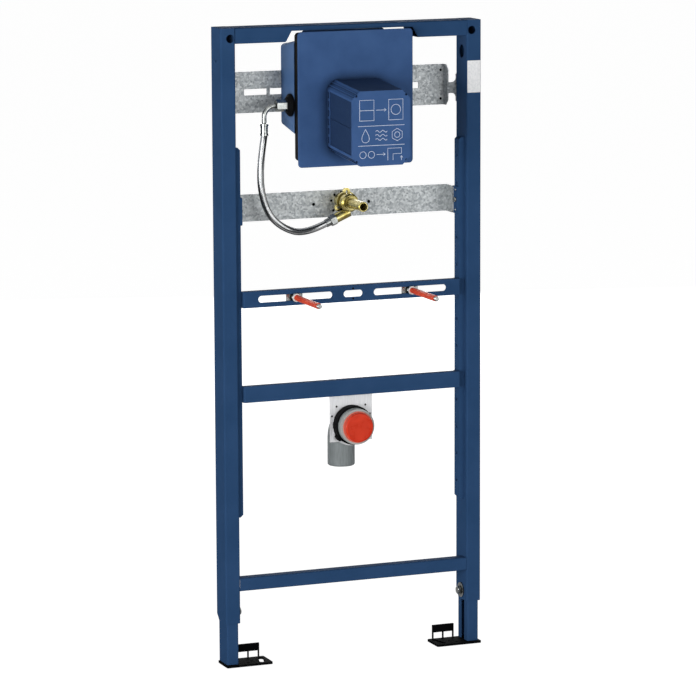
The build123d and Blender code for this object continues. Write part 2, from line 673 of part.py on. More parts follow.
def inlet_point(distance):
    """A point on the water inlet's axis."""
    return Vector(0, HOSE_Y, OUTLET_Z - INLET_DROP) + inlet_direction() * distance


def inlet_plane(distance):
    """A plane across the water inlet's axis."""
    return Plane(origin=inlet_point(distance), z_dir=inlet_direction())


def make_brass_fitting():
    """The brass fitting: a turned body with a nozzle, a lugged flange and an inlet arm."""
    flange_rear = FLANGE_FRONT + FLANGE_SHEET
    body = turned_y(OUTLET_Z, [
        (OUTLET_D / 2 - OUTLET_BEVEL, OUTLET_TIP), (OUTLET_D / 2, OUTLET_TIP + OUTLET_BEVEL),
        (OUTLET_D / 2, NECK_FRONT), (NECK_D / 2, NECK_FRONT), (NECK_D / 2, BODY_FRONT),
        (BODY_D / 2 - BODY_BEVEL, BODY_FRONT), (BODY_D / 2, BODY_FRONT + BODY_BEVEL),
        (BODY_D / 2, FLANGE_FRONT), (FLANGE_D / 2, FLANGE_FRONT), (FLANGE_D / 2, flange_rear),
        (BASE_D / 2, flange_rear), (BASE_D / 2, WATER_PLATE_FRONT)])
    lugs = Sketch()
    screws = Sketch()
    for angle in (90, 210, 330):
        turn = Pos(0, OUTLET_Z) * Rot(0, 0, angle)
        lugs += turn * Pos(LUG_CIRCLE / 4, 0) * Rectangle(LUG_CIRCLE / 2, LUG_D)
        lugs += turn * Pos(LUG_CIRCLE / 2, 0) * Circle(LUG_D / 2)
        screws += turn * Pos(LUG_CIRCLE / 2, 0) * Circle(LUG_HOLE_D / 2)
    fitting = body + between_y(lugs, FLANGE_FRONT, flange_rear)
    fitting += extrude(inlet_plane(0) * Circle(INLET_D / 2), amount=INLET_LENGTH)
    fitting -= between_y(screws, FLANGE_FRONT, flange_rear)
    return fitting - rod_y(0, OUTLET_Z, OUTLET_BORE, OUTLET_TIP, flange_rear)


def make_hose_nut():
    """The union nut on the inlet arm, with the crimp that holds the hose."""
    nut = inlet_plane(INLET_LENGTH) * hex_nut(HOSE_NUT_ACROSS, HOSE_NUT_HEIGHT)
    crimp = inlet_plane(INLET_LENGTH + HOSE_NUT_HEIGHT) * Circle(HOSE_CRIMP_D / 2)
    return nut + extrude(crimp, amount=HOSE_CRIMP_LENGTH)


def hose_points():
    """The hose's route from the ferrule down and round to the crimp."""
    end = inlet_point(INLET_LENGTH + HOSE_NUT_HEIGHT + HOSE_CRIMP_LENGTH)
    route = [Vector(ELBOW_X + x, HOSE_Y, FERRULE_BOTTOM + z) for x, z in HOSE_ROUTE]
    lead = end + inlet_direction() * HOSE_LEAD
    return [Vector(ELBOW_X, HOSE_Y, FERRULE_BOTTOM)] + route + [lead, end]


def bend_radii(points):
    """At each corner of a route, the radius that uses 45 % of the shorter run."""
    radii = []
    for before, at, after in zip(points, points[1:], points[2:]):
        turn = radians((at - before).get_angle(after - at))
        run = min((at - before).length, (after - at).length)
        radii.append(0.45 * run / tan(turn / 2))
    return radii


def make_hose():
    """The braided hose as a round tube along its route."""
    points = hose_points()
    radii = bend_radii(points)
    path = FilletPolyline(*points, radius=radii)
    section = Plane(origin=points[0], z_dir=path % 0) * Circle(HOSE_D / 2)
    hose = sweep(section, path=path)
    straight = path.length * pi * HOSE_D ** 2 / 4
    print("hose bend radii", [round(r, 1) for r in radii])
    print("hose length", round(path.length, 1), "volume ratio", round(hose.volume / straight, 4))
    return hose


def make_hose_ferrule():
    """The crimped ferrule under the elbow, with a ring at each end."""
    middle = FERRULE_LENGTH - 2 * FERRULE_RING
    ferrule = between_z(Circle(FERRULE_WAIST_D / 2), FERRULE_BOTTOM, FERRULE_TOP)
    for low in (FERRULE_BOTTOM, FERRULE_BOTTOM + FERRULE_RING + middle):
        ferrule += between_z(Circle(FERRULE_D / 2), low, low + FERRULE_RING)
    return Pos(ELBOW_X, HOSE_Y, 0) * ferrule


def make_hose_elbow():
    """The bent pipe between the box and the hose."""
    path = FilletPolyline((ELBOW_NUT_END, HOSE_Y, GROMMET_Z), (ELBOW_X, HOSE_Y, GROMMET_Z),
                          (ELBOW_X, HOSE_Y, FERRULE_TOP), radius=ELBOW_RADIUS)
    section = Plane(origin=path @ 0, z_dir=path % 0) * Circle(ELBOW_D / 2)
    return sweep(section, path=path)


def make_elbow_nut():
    """The union nut at the box."""
    nut = Rot(0, 90, 0) * hex_nut(ELBOW_NUT_ACROSS, ELBOW_NUT_HEIGHT)
    return Pos(ELBOW_NUT_END, HOSE_Y, GROMMET_Z) * nut


def make_hose_grommet():
    """The black grommet where the water enters the box."""
    rim = -BOX_HALF - GROMMET_RIM
    outline = polygon((-BOX_HALF, 0), (-BOX_HALF, GROMMET_D / 2), (rim, GROMMET_D / 2),
                      (GROMMET_END, GROMMET_NECK_D / 2), (GROMMET_END, 0))
    return Pos(0, HOSE_Y, GROMMET_Z) * revolve(outline, Axis.X)


def bracket_beads():
    """The pressed beads and the small raised field on the drain bracket."""
    low = SEAL_D / 2 - BRACKET_WING_DROP
    length = BEAD_TOP + BRACKET_WING_DROP - low
    beads = Pos(0, BADGE_RISE) * Rectangle(BADGE_WIDTH, BADGE_HEIGHT)
    for x in (-BEAD_X, BEAD_X):
        beads += Pos(x, BEAD_TOP - length / 2) * Rot(0, 0, 90) * SlotOverall(length, BEAD_WIDTH)
    return between_y(beads - Circle(SEAL_D / 2), BAR_REAR - BEAD_HEIGHT, BAR_REAR)


def make_drain_bracket():
    """The bracket under the drain bar: wings, a round rim and a hole for the socket."""
    top = DRAIN_BAR_Z + BAR_HEIGHT / 2 - DRAIN_Z
    outline = Pos(0, (top - BRACKET_WING_DROP) / 2) * Rectangle(BRACKET_WIDTH, top + BRACKET_WING_DROP)
    outline += Circle(SEAL_D / 2 + BRACKET_RIM)
    outline -= Circle(SOCKET_D / 2 + CLEARANCE)
    for x, z in BRACKET_HOLES:
        for side in (-1, 1):
            outline -= Pos(side * x, z) * Circle(BRACKET_HOLE_D / 2)
    bracket = between_y(outline, BAR_REAR, BAR_REAR + SHEET) + bracket_beads()
    return Pos(0, 0, DRAIN_Z) * bracket


def make_drain_seal():
    """The rubber seal round the socket, with a lip and a small tab."""
    outline = Circle(SEAL_D / 2)
    outline += Rot(0, 0, SEAL_TAB_ANGLE) * Pos(SEAL_TAB_REACH / 2, 0) * Rectangle(
        SEAL_TAB_REACH, SEAL_TAB_WIDTH)
    seal = between_y(outline, SEAL_FRONT, BAR_REAR - BEAD_HEIGHT)
    seal = chamfer(seal.faces().sort_by(Axis.Y)[0].edges(), SEAL_LIP)
    seal += between_y(Circle(SEAL_D / 2), BAR_REAR - BEAD_HEIGHT, BAR_REAR)
    seal -= between_y(Circle(SOCKET_D / 2), SEAL_FRONT, BAR_REAR)
    return Pos(0, 0, DRAIN_Z) * seal


def pipe_run(diameter):
    """A bent round bar on the drain's route."""
    path = FilletPolyline((0, SOCKET_REAR, DRAIN_Z), (0, PIPE_Y, DRAIN_Z), (0, PIPE_Y, PIPE_LOW),
                          radius=PIPE_BEND)
    section = Plane(origin=path @ 0, z_dir=path % 0) * Circle(diameter / 2)
    return sweep(section, path=path)


def make_drain_elbow():
    """The drain elbow: a ringed socket to the front and a bent pipe down."""
    ring_rear = SOCKET_FRONT + SOCKET_RING
    elbow = pipe_run(PIPE_D)
    elbow = chamfer(elbow.faces().sort_by(Axis.Z)[0].edges(), PIPE_BEVEL)
    elbow += rod_y(0, DRAIN_Z, SOCKET_D, SOCKET_FRONT, SOCKET_REAR)
    elbow -= between_y(Pos(0, DRAIN_Z) * ring(SOCKET_D, SOCKET_D - 2 * SOCKET_STEP), ring_rear, SEAL_FRONT)
    elbow -= pipe_run(PIPE_D - 2 * PIPE_WALL)
    elbow -= rod_y(0, DRAIN_Z, SOCKET_BORE, SOCKET_FRONT, SOCKET_REAR - SOCKET_WALL)
    elbow -= rod_y(0, DRAIN_Z, PIPE_D - 2 * PIPE_WALL, SOCKET_FRONT, SOCKET_REAR)
    return elbow


def make_drain_cap():
    """The protective cap in the socket: a rim, a round-edged head, a dish and a plug."""
    front = SOCKET_FRONT - CAP_HEIGHT
    head = rod_y(0, DRAIN_Z, CAP_D, front, SOCKET_FRONT)
    head = fillet(head.edges().group_by(Axis.Y)[0], CAP_ROUND)
    head -= rod_y(0, DRAIN_Z, CAP_DISH_D, front, front + CAP_DISH)
    head += rod_y(0, DRAIN_Z, CAP_RIM_D, SOCKET_FRONT - CAP_RIM, SOCKET_FRONT)
    plug_end = SOCKET_FRONT + CAP_PLUG
    return head + rod_y(0, DRAIN_Z, SOCKET_BORE - CLEARANCE, SOCKET_FRONT, plug_end)


def make_leg(side):
    """A telescopic leg: a tube slotted along its inner side for the clamp bolt."""
    section = tube_section(LEG_WIDTH, LEG_DEPTH, SHEET, PROFILE_CORNER)
    leg = between_z(Pos(side * POST_X, POST_MIDDLE) * section, FOOT_SHEET, LEG_TOP)
    lip = side * (POST_X - LEG_WIDTH / 2)
    return leg - block(lip, lip + side * SHEET, POST_MIDDLE - LEG_SLOT / 2, POST_MIDDLE + LEG_SLOT / 2,
                       FOOT_SHEET, LEG_TOP)


def foot_upstand():
    """The upstand of a foot plate, with two windows: X is the distance from the outer edge."""
    length = UPSTAND_FAR - UPSTAND_NEAR
    outline = Rectangle(length, UPSTAND_HEIGHT)
    outline = Pos((UPSTAND_NEAR + UPSTAND_FAR) / 2, UPSTAND_HEIGHT / 2) * outline
    window = (length - 3 * UPSTAND_BAR) / 2
    for i in range(2):
        middle = UPSTAND_NEAR + UPSTAND_BAR + window / 2 + i * (window + UPSTAND_BAR)
        outline -= Pos(middle, FOOT_SHEET + WINDOW_HEIGHT / 2) * Rectangle(window, WINDOW_HEIGHT)
    return between_y(outline, FOOT_REAR - FOOT_SHEET, FOOT_REAR)


def make_foot_plate(side):
    """A foot plate with a slanted floor slot, screw holes and an upstand at the rear."""
    depth = FOOT_REAR - FOOT_FRONT
    middle = (FOOT_FRONT + FOOT_REAR) / 2
    plate = Pos(FOOT_LENGTH / 2, middle) * RectangleRounded(FOOT_LENGTH, depth, FOOT_CORNER)
    plate -= Pos(FOOT_SLOT_REACH, middle) * Rot(0, 0, 90 - FOOT_SLOT_TILT) * SlotOverall(
        FOOT_SLOT_LENGTH, FOOT_SLOT_WIDTH)
    for x, y in FOOT_HOLES:
        plate -= Pos(x, FOOT_FRONT + y) * Circle(FOOT_HOLE_D / 2)
    foot = between_z(plate, 0, FOOT_SHEET) + foot_upstand()
    foot = Pos(-FRAME_WIDTH / 2, 0, 0) * foot
    if side > 0:
        foot = mirror(foot, about=Plane.YZ)
    return foot


def make_clamp_bolt(side):
    """The bolt, washer and slot nut that clamp a leg in its post."""
    face = side * POST_INNER
    washer = side * (POST_INNER - CLAMP_WASHER_SHEET)
    inside = side * (POST_X - LEG_WIDTH / 2 + SHEET + CLEARANCE)
    nut_end = inside + side * CLAMP_NUT_HEIGHT
    half = CLAMP_NUT_WIDTH / 2
    head = Rot(0, -90 * side, 0) * hex_nut(CLAMP_HEAD_ACROSS, CLAMP_HEAD_HEIGHT)
    bolt = rod_x(POST_MIDDLE, CLAMP_Z, CLAMP_WASHER_D, washer, face)
    bolt += Pos(washer, POST_MIDDLE, CLAMP_Z) * head
    bolt += rod_x(POST_MIDDLE, CLAMP_Z, CLAMP_BOLT_D, face, nut_end)
    bolt += block(inside, nut_end, POST_MIDDLE - half, POST_MIDDLE + half, CLAMP_Z - half, CLAMP_Z + half)
    return bolt


def save(name, shape):
    """Write one piece, with the origin under the middle of the whole object."""
    export_step(Pos(0, -ORIGIN_Y, 0) * shape, os.path.join("parts", name + ".step"))


def main():
    os.makedirs("parts", exist_ok=True)
    save("top_bar", make_top_bar())
    save("bottom_bar", make_bottom_bar())
    save("stud_bar", make_stud_bar())
    save("drain_bar", make_cross_bar(DRAIN_BAR_Z))
    save("upper_plate", make_upper_plate())
    save("water_plate", make_water_plate())
    save("box_body", make_box_body())
    save("box_membrane", make_box_membrane())
    save("cover_plate", make_cover_plate())
    save("hood", make_hood())
    save("brass_fitting", make_brass_fitting())
    save("hose_nut", make_hose_nut())
    save("hose", make_hose())
    save("hose_ferrule", make_hose_ferrule())
    save("hose_elbow", make_hose_elbow())
    save("elbow_nut", make_elbow_nut())
    save("hose_grommet", make_hose_grommet())
    save("drain_bracket", make_drain_bracket())
    save("drain_seal", make_drain_seal())
    save("drain_elbow", make_drain_elbow())
    save("drain_cap", make_drain_cap())
    for name, side in (("left", -1), ("right", 1)):
        save(name + "_post", make_post(side))
        save(name + "_rail", make_rail(side))
        save(name + "_rail_clip", make_rail_clip(side))
        save(name + "_stud", make_stud(side))
        save(name + "_stud_plate", make_stud_plate(side))
        save(name + "_stud_nut", make_stud_nut(side))
        save(name + "_stud_sleeve", make_stud_sleeve(side))
        save(name + "_leg", make_leg(side))
        save(name + "_foot_plate", make_foot_plate(side))
        save(name + "_clamp_bolt", make_clamp_bolt(side))


main()
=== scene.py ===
"""The looks of the urinal installation frame: camera, light, finishes and small detail."""

import json
from math import atan2, cos, hypot, pi, radians, sin

import bmesh
import bpy
from mathutils import Matrix, Vector

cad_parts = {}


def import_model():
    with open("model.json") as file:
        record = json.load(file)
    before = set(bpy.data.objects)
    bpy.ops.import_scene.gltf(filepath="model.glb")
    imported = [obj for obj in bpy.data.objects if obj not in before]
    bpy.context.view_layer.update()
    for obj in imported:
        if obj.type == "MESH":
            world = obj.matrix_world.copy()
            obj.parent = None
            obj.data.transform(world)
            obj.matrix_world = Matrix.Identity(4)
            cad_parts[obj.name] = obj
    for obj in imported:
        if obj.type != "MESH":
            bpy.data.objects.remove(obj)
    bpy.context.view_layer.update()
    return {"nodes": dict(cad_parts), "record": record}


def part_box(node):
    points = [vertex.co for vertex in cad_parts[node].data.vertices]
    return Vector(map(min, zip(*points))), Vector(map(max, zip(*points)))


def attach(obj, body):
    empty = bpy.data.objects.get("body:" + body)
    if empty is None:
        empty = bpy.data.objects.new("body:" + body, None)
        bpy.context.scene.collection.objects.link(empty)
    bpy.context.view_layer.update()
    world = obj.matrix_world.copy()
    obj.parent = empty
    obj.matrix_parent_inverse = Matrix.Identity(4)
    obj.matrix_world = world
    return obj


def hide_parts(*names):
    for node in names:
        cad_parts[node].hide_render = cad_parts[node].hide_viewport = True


# Lengths are in millimetres, and MM turns them into metres
MM = 0.001
MERGE_GAP = 0.002

# Camera, in metres and degrees, fitted to the posts and bars of the photograph
CAMERA_PLACE = (-2.5007, -6.189, 1.6775)
CAMERA_TURN = (80.594, 0.251, -21.882)
CAMERA_LENS = 194.76
CAMERA_SENSOR = 36.0

# Hose: its route from the ferrule to the crimp on the brass fitting
HOSE_ROUTE = [(-161, 44, 958), (-172.5, 44, 893.5), (-160.5, 44, 824), (-130, 44, 791.5),
              (-85.6, 44, 776.7), (-44.2, 44, 794.3)]
HOSE_D = 12.5
LINER_IN = 0.8
LINER_SIDES = 24
LINER_CUTS = 90

# Braid: bundles of wire, coarser than the real wires so that they show
BRAID_STRANDS = 18
BRAID_PITCH = 40.0
BRAID_WIDTH = 1.45
BRAID_HALF_THICK = 0.25
BRAID_SLANT = (0.8, 0.6)
BRAID_RISE = 0.3
BRAID_STEP = 1.5
BRAID_LAY = "straight_place"

# Hood front: the printed lines lie on this face, measured from its middle
HOOD_FRONT_HEIGHT = 132.0
PRINT_LINE = 0.9
PRINT_THICK = 0.1
PRINT_SPAN = 44.0
PRINT_BANDS = (4.5, -30.0)
ARROW_BACK = 3.2
ARROW_HALF = 2.4

# Blank label round the front of the right post
LABEL_LOW = 1020.5
LABEL_HIGH = 1078.5
LABEL_WIDTH = 26.0
LABEL_CORNER = 1.2
LABEL_ROOM = 0.1
LABEL_PAPER = 0.08
LABEL_FOLDS = 5
LABEL_FOLD_STEP = 0.3
POST_CORNER = 3.0

# Studs: the collar at the foot of the sleeve and the thread on the tip
COLLAR_R = 7.4
COLLAR_LENGTH = 3.2
COLLAR_CHAMFER = 0.6
COLLAR_SIDES = 40
STUD_R = 4.0
THREAD_PITCH = 1.25
THREAD_ROOT = 0.1
THREAD_RISE = 0.3
THREAD_HALF = 0.45
THREAD_START = 0.5
THREAD_SHORT_TURNS = 1.6
THREAD_SIDES = 28

# Rail clips: the screw and the rivets on their inner faces
SCREW_HEAD_R = 4.6
SCREW_HEAD_HEIGHT = 2.6
SCREW_SOCKET_R = 1.7
SCREW_SOCKET_DEPTH = 1.3
SCREW_FORWARD = 2.0
RIVET_R = 2.2
CLIP_RIVET_RISE = 18.0
SCREW_SIDES = 32

# Finishes: where the clouds go over from dark to light, and how much they change the roughness
CLOUD_LIMITS = (0.35, 0.65)
ROUGH_LIMITS = (0.3, 0.7)
ROUGH_SPREAD = 0.05
WAX_DEPTH = 1.5
WAX_REACH = (1.0, 0.35, 0.2)

# Painted corner shade: the open shares between which a finish goes from the painted shade to its own
# colour
CORNER_SHADE_SHARES = (0.35, 0.95)
CORNER_SHADE_SAMPLES = 16

# Flush box: how far the shade painted into its grooves and corners reaches, and the lip on its top behind
# the notch
CORNER_SHADE_REACH = 24.0
CORNER_SHADE_COLOUR = "#0D1626"
# Hood: the outer face of its side panels, their coarse grain, the two colours of the shade painted on its
# roof and panels, and how far a face must turn to count as side or roof
PANEL_FACE = 54.7
PANEL_GRAIN = 2.5
PANEL_SHADE_COLOURS = ("#213453", "#2F4365")
FACING = 0.9
LIP_HALF = 79.0
LIP_TOP = 1139.5
LIP_LOW = 1112.0
LIP_FRONT = 67.0
LIP_SHEET = 2.0
LIP_CORNER = 4.0

# Metal: how far the shade painted into its corners reaches, and the zinc crystals, drawn as coarse as they
# need to show
METAL_SHADE_REACH = 6.0
SPANGLE = 3.4
SPANGLE_ROUGH = (0.4, 0.58)

# Drain: the light painted on its socket, and the highlight painted along the rim of the cap
SOCKET_LIGHT_COLOUR = "#A9ADAB"
RIM_HIGHLIGHT_WIDTH = 2.5
RIM_HIGHLIGHT_SHARE = 0.7
RIM_HIGHLIGHT_COLOUR = "#F0A08C"

# Black discs in the small holes of the plates, as painted shade inside the holes: (x, z, radius) from the
# middle of the holes
HOLE_SHADE_DEPTH = 1.2
HOLE_SHADE_ROOM = 0.05
HOLE_SHADE_SIDES = 24
SHEET = 2.0
WATER_HOLES = [(-53.6, 0, 3.0), (53.6, 0, 3.0)]
WATER_HOLES += [(20 * cos(radians(a)), 20 * sin(radians(a)), 2.5)
                for a in (15, 50, 90, 130, 165, 220, 320)]
UPPER_HOLES = [(x, z, 2.5) for x in (-200.5, 200.5) for z in (-26, 26)]
STUD_BAR_HOLES = [(0, -9.2, 2.0), (0, 9.2, 2.0)]
BRACKET_HOLES = [(side * x, z, 2.0) for side in (-1, 1) for x, z in ((28, 33.7), (37, 16.5))]

# Light, in metres and watts: wide soft boxes, and a room that is dimmer above and behind
LAMPS = (("key_lamp", (-4.3, -2.8, 0.95), 175.0),
         ("fill_lamp", (1.6, -4.6, 0.95), 62.0),
         ("back_lamp", (1.2, 4.2, 0.95), 120.0))
LAMP_WIDTH = 4.5
LAMP_HEIGHT = 1.7
LAMP_TARGET = (0.0, 0.0, 0.7)
AMBIENT = 0.55
ROOM_DIM = 0.2
ROOM_FRONT = (0.0, -0.8, -0.6)
ROOM_FADE = 0.8
WHITE = (1, 1, 1, 1)

# Floor, in metres: to the camera this share of it glows white, and the rest takes the shadow
FLOOR_HALF = 60.0
FLOOR_COLOUR = "#F4F4F4"
FLOOR_GLOW = 1.45
FLOOR_SHARE = 0.65


def linear(code):
    """Turn an sRGB hex colour into a linear one with alpha."""
    parts = [int(code[i:i + 2], 16) / 255 for i in (1, 3, 5)]
    return [c / 12.92 if c <= 0.04045 else ((c + 0.055) / 1.055) ** 2.4 for c in parts] + [1.0]


def add_node(tree, kind, inputs=None, stops=(), **settings):
    """Add a node, set its properties and colour stops, and give each input a value or an output."""
    node = tree.nodes.new(kind)
    for name, value in settings.items():
        setattr(node, name, value)
    for i, (position, code) in enumerate(stops):
        node.color_ramp.elements[i].position = position
        node.color_ramp.elements[i].color = linear(code)
    for name, value in (inputs or {}).items():
        if isinstance(value, bpy.types.NodeSocket):
            tree.links.new(value, node.inputs[name])
        else:
            node.inputs[name].default_value = value
    return node


def bare_material(name, metallic, gloss):
    """A new material with the plain settings of its shader."""
    material = bpy.data.materials.new(name)
    material.use_nodes = True
    shader = material.node_tree.nodes["Principled BSDF"]
    shader.inputs["Metallic"].default_value = metallic
    shader.inputs["Specular IOR Level"].default_value = gloss
    return material


def join_shader(material, colour, roughness, place, grain, relief):
    """Join a colour, a roughness and a fine grain on a place to the shader of a material."""
    tree = material.node_tree
    grains = add_node(tree, "ShaderNodeTexNoise", {
        "Vector": place, "Scale": 1 / (grain * MM), "Detail": 2.0})
    bump = add_node(tree, "ShaderNodeBump", {
        "Height": grains.outputs["Fac"], "Strength": 1.0, "Distance": relief * MM})
    shader = tree.nodes["Principled BSDF"]
    tree.links.new(colour, shader.inputs["Base Color"])
    tree.links.new(roughness, shader.inputs["Roughness"])
    tree.links.new(bump.outputs["Normal"], shader.inputs["Normal"])
    return material


def finish(name, dark, light, rough, metallic=0.0, gloss=0.5, cloud=30.0, stretch=(1, 1, 1),
           grain=2.0, relief=0.01, lay=None, limits=CLOUD_LIMITS):
    """A finish with clouds of two colours and roughnesses, and a grain.

    Its patterns lie on the piece's own coordinates, or on the attribute that lay names.
    """
    material = bare_material(name, metallic, gloss)
    tree = material.node_tree
    if lay:
        place = add_node(tree, "ShaderNodeAttribute", attribute_name=lay).outputs["Vector"]
    else:
        place = add_node(tree, "ShaderNodeTexCoord").outputs["Object"]
    drawn = add_node(tree, "ShaderNodeMapping", {"Vector": place, "Scale": stretch}).outputs["Vector"]
    clouds = add_node(tree, "ShaderNodeTexNoise", {
        "Vector": drawn, "Scale": 1 / (cloud * MM), "Detail": 4.0}).outputs["Fac"]
    shade = add_node(tree, "ShaderNodeValToRGB", {"Fac": clouds}, stops=zip(limits, (dark, light)))
    spread = add_node(tree, "ShaderNodeMapRange", {
        "Value": clouds, "From Min": ROUGH_LIMITS[0], "From Max": ROUGH_LIMITS[1],
        "To Min": rough - ROUGH_SPREAD, "To Max": rough + ROUGH_SPREAD})
    return join_shader(material, shade.outputs["Color"], spread.outputs["Result"], drawn, grain, relief)


def lay_over(material, share, over):
    """Lay another colour over that of a finish, by a share."""
    tree = material.node_tree
    colour = tree.nodes["Principled BSDF"].inputs["Base Color"]
    mixed = add_node(tree, "ShaderNodeMix", {
        "Factor": share, "A": colour.links[0].from_socket, "B": over}, data_type="RGBA")
    tree.links.new(mixed.outputs["Result"], colour)
    return material


def with_painted_corner_shade(material, code, reach):
    """Paint shade into a finish: it goes over to a dark colour in grooves and inner corners, where they
    are occluded.
    """
    tree = material.node_tree
    corners = add_node(tree, "ShaderNodeAmbientOcclusion", {"Distance": reach * MM},
                       samples=CORNER_SHADE_SAMPLES)
    closed = add_node(tree, "ShaderNodeMapRange", {
        "Value": corners.outputs["AO"], "From Min": CORNER_SHADE_SHARES[0], "From Max": CORNER_SHADE_SHARES[1],
        "To Min": 1.0, "To Max": 0.0})
    return lay_over(material, closed.outputs["Result"], linear(code))


def galvanised_steel():
    """Hot-dip galvanised sheet: fine zinc crystals that differ in grey and in gloss."""
    material = bare_material("hot_dip_galvanised_steel", 0.6, 0.5)
    tree = material.node_tree
    place = add_node(tree, "ShaderNodeTexCoord").outputs["Object"]
    spangle = add_node(tree, "ShaderNodeTexVoronoi", {"Vector": place, "Scale": 1 / (SPANGLE * MM)})
    crystal = add_node(tree, "ShaderNodeSeparateColor", {"Color": spangle.outputs["Color"]})
    shade = add_node(tree, "ShaderNodeValToRGB", {"Fac": crystal.outputs["Red"]},
                     stops=((0.0, "#8B9092"), (1.0, "#C4C8C9")))
    rough = add_node(tree, "ShaderNodeMapRange", {
        "Value": crystal.outputs["Green"], "To Min": SPANGLE_ROUGH[0], "To Max": SPANGLE_ROUGH[1]})
    return join_shader(material, shade.outputs["Color"], rough.outputs["Result"], place, 3, 0.004)


def moulded_abs(name, dark, light):
    """Injection-moulded ABS: a spark-eroded grain, matt, with shade painted darker into grooves and inner
    corners.
    """
    # the real grain is finer, and is drawn as coarse as it needs to show
    material = finish(name, dark, light, 0.55, gloss=0.03, cloud=45, grain=1.2, relief=0.016)
    return with_painted_corner_shade(material, CORNER_SHADE_COLOUR, CORNER_SHADE_REACH)


def hood_abs_with_painted_shade():
    """The hood's ABS: its roof and the sunk panels of its sides have a coarse grain, painted darker as
    shade.
    """
    material = moulded_abs("blue_moulded_abs_with_shaded_roof_and_panels", "#3C5A89", "#426091")
    tree = material.node_tree
    place = add_node(tree, "ShaderNodeTexCoord").outputs["Object"]
    where = add_node(tree, "ShaderNodeSeparateXYZ", {"Vector": place})
    facing = add_node(tree, "ShaderNodeSeparateXYZ", {
        "Vector": add_node(tree, "ShaderNodeNewGeometry").outputs["Normal"]})
    # a point of a panel lies behind the side's outer face, and faces sideways
    sunk = add_node(tree, "ShaderNodeMath", {
        0: where.outputs["X"], 1: 0.0, 2: PANEL_FACE * MM}, operation="COMPARE")
    not_sideways = add_node(tree, "ShaderNodeMath", {
        0: facing.outputs["X"], 1: 0.0, 2: FACING}, operation="COMPARE")
    panel = add_node(tree, "ShaderNodeMath", {
        0: sunk.outputs["Value"], 1: not_sideways.outputs["Value"]}, operation="SUBTRACT", use_clamp=True)
    # the roof faces up; the roof and the panels get a darker colour as painted shade
    shaded_roof = add_node(tree, "ShaderNodeMath", {0: facing.outputs["Z"], 1: FACING}, operation="GREATER_THAN")
    dark = add_node(tree, "ShaderNodeMath", {
        0: panel.outputs["Value"], 1: shaded_roof.outputs["Value"]}, operation="MAXIMUM")
    grains = add_node(tree, "ShaderNodeTexNoise", {
        "Vector": place, "Scale": 1 / (PANEL_GRAIN * MM), "Detail": 3.0})
    coarse = add_node(tree, "ShaderNodeValToRGB", {"Fac": grains.outputs["Fac"]},
                      stops=zip((0.0, 1.0), PANEL_SHADE_COLOURS))
    return lay_over(material, dark.outputs["Value"], coarse.outputs["Color"])


def soft_plastic(name, dark, light, rough, soft):
    """Moulded polyethylene: a clear strong colour, slightly waxy."""
    material = finish(name, dark, light, rough, gloss=0.15, cloud=14, grain=2.5, relief=0.003)
    shader = material.node_tree.nodes["Principled BSDF"]
    shader.inputs["Subsurface Weight"].default_value = soft
    shader.inputs["Subsurface Scale"].default_value = WAX_DEPTH * MM
    shader.inputs["Subsurface Radius"].default_value = WAX_REACH
    return material


def drain_polypropylene():
    """Polypropylene pipe, drawn along its length. Its socket in front of the seal is painted paler, as
    light on its front.
    """
    material = finish("extruded_polypropylene", "#757B7C", "#848A8B", 0.42, gloss=0.3, cloud=1.6,
                      stretch=(1, 1, 0.08), relief=0.003)
    tree = material.node_tree
    where = add_node(tree, "ShaderNodeSeparateXYZ", {
        "Vector": add_node(tree, "ShaderNodeTexCoord").outputs["Object"]})
    # the socket's front is painted paler, as light falling on it
    lit_socket = add_node(tree, "ShaderNodeMath", {
        0: where.outputs["Y"], 1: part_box("drain_seal")[0].y}, operation="LESS_THAN")
    return lay_over(material, lit_socket.outputs["Value"], linear(SOCKET_LIGHT_COLOUR))


def cap_polyethylene():
    """The drain cap's polyethylene, with a highlight painted pale along its rim."""
    material = soft_plastic("red_polyethylene_cap", "#CF341A", "#D93C21", 0.3, 0.08)
    tree = material.node_tree
    low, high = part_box("drain_cap")
    middle = (low + high) / 2
    rim = (high.x - low.x) / 2
    from_middle = add_node(tree, "ShaderNodeMapping", {
        "Vector": add_node(tree, "ShaderNodeTexCoord").outputs["Object"],
        "Location": (-middle.x, 0, -middle.z), "Scale": (1, 0, 1)})
    reach = add_node(tree, "ShaderNodeVectorMath", {0: from_middle.outputs["Vector"]}, operation="LENGTH")
    # a pale highlight painted along the rim
    rim_highlight = add_node(tree, "ShaderNodeMapRange", {
        "Value": reach.outputs["Value"], "From Min": rim - RIM_HIGHLIGHT_WIDTH * MM, "From Max": rim,
        "To Min": 0.0, "To Max": RIM_HIGHLIGHT_SHARE})
    return lay_over(material, rim_highlight.outputs["Result"], linear(RIM_HIGHLIGHT_COLOUR))


def bright_zinc():
    """Bright zinc plate: a cool mirror, clouded, with painted shade as dark lines where pieces meet."""
    material = finish("bright_zinc_plate", "#808382", "#ABAEAC", 0.2, 0.95, cloud=8, grain=3, relief=0.001)
    return with_painted_corner_shade(material, "#17181A", METAL_SHADE_REACH)


def worked_brass():
    """Cast and turned brass: a warm pale yellow, a little rough, with shade painted dark into its corners.
    """
    material = finish("cast_and_turned_brass", "#9E9049", "#CFC386", 0.25, 0.9, cloud=8, grain=1.4,
                      relief=0.008)
    return with_painted_corner_shade(material, "#241C05", METAL_SHADE_REACH)


def wire_braid():
    """Stainless wire braid, with painted reflections: bright and dark streaks that follow the hose."""
    # the streaks are painted highlights and dark reflections along the hose
    return finish("stainless_wire_braid_with_painted_reflections", "#323436", "#C4C6C7", 0.25, 0.85, cloud=4, stretch=(1, 1, 0.05),
                  relief=0.001, lay=BRAID_LAY, limits=(0.45, 0.54))


